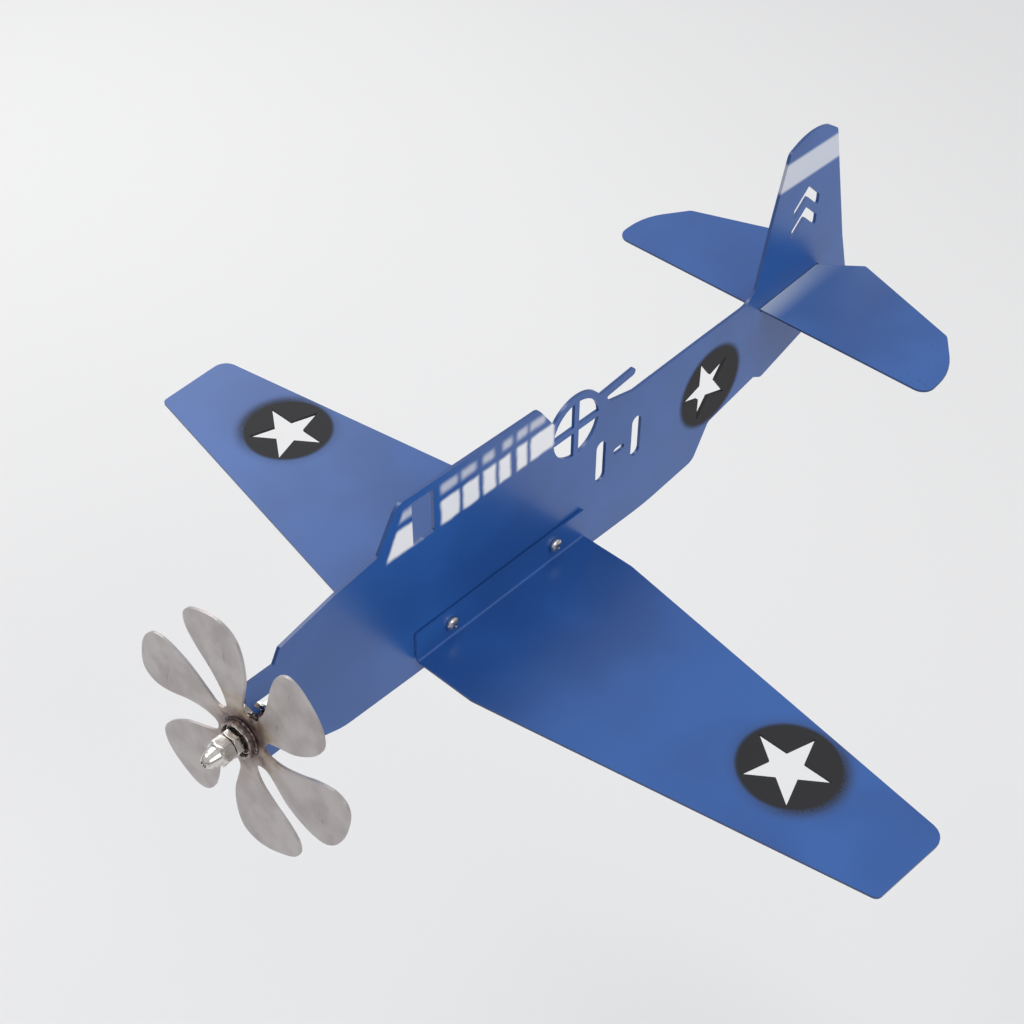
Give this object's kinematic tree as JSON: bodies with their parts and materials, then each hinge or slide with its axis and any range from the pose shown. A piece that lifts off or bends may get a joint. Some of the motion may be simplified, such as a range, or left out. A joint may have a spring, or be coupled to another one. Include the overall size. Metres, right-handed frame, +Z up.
{
  "type": "aeroplane whirligig",
  "caption": "Sheet-metal aeroplane wind spinner whose propeller spins on a nose bearing while the airframe weathercocks on a mast spindle.",
  "frame": {"origin": "centre of the spindle's lower end face, on the swivel axis, where a mast holds the object", "axes": "+X towards the nose, +Y towards the port wing tip, +Z up along the swivel axis; the fuselage sheet stands in the XZ plane"},
  "size_m": [0.3942, 0.4066, 0.1994],
  "materials": {
    "fuselage_paint": "semi-gloss blue sprayed paint with white panes and a black disc",
    "wing_paint": "semi-gloss blue sprayed paint with black discs round the stars",
    "blade_steel": "dull rolled sheet, heat-tinted near the weld",
    "bare_steel": "dull, weld-stained",
    "bright_steel": "bright turned fasteners",
    "dark_steel": "black oxide",
    "brass_bush": "turned"
  },
  "bodies": {
    "mast_spindle": {"pivot_spindle": "bright_steel", "mast_washer": "bright_steel", "mast_lock_nut": "bright_steel"},
    "airframe": {"fuselage_sheet": "fuselage_paint", "wing_port": "wing_paint", "wing_starboard": "wing_paint", "tailplane_port": "wing_paint", "tailplane_starboard": "wing_paint", "wing_screw_front": "bright_steel", "wing_screw_rear": "bright_steel", "wing_washer_front": "bright_steel", "wing_washer_rear": "bright_steel", "wing_nut_front": "bright_steel", "wing_nut_rear": "bright_steel", "pivot_tube": "bare_steel", "thrust_plug": "bright_steel", "pivot_ball": "bright_steel", "upper_bush": "brass_bush", "lower_bush": "brass_bush", "grub_screw": "dark_steel", "nose_boss": "bare_steel", "axle_stud": "bright_steel", "axle_back_washer": "bright_steel", "axle_back_nut": "bright_steel", "axle_spacer": "bright_steel", "bearing_inner_ring": "bright_steel", "axle_front_nut": "bright_steel", "acorn_nut": "bright_steel"},
    "propeller": {"propeller_blades": "blade_steel", "hub_housing": "bare_steel", "bearing_outer_ring": "bright_steel", "bearing_shield_front": "dark_steel", "bearing_shield_rear": "dark_steel"},
    "ball_cage": {"bearing_ball_cage": "brass_bush"}
  },
  "joints": [
    {"name": "airframe_swivel", "type": "hinge", "parent": "mast_spindle", "child": "airframe", "pos_m": [0, 0, 0.045], "axis": [0, 0, 1], "continuous": true},
    {"name": "propeller_spin", "type": "hinge", "parent": "airframe", "child": "propeller", "pos_m": [0.1351, 0.00045, 0.0924], "axis": [0.9947, 0.0574, 0.0853], "continuous": true},
    {"name": "cage_spin", "type": "hinge", "parent": "airframe", "child": "ball_cage", "pos_m": [0.1351, 0.00045, 0.0924], "axis": [0.9947, 0.0574, 0.0853], "continuous": true}
  ],
  "couplings": [
    {"joint": "cage_spin", "follows": "propeller_spin", "ratio": 0.56}
  ]
}
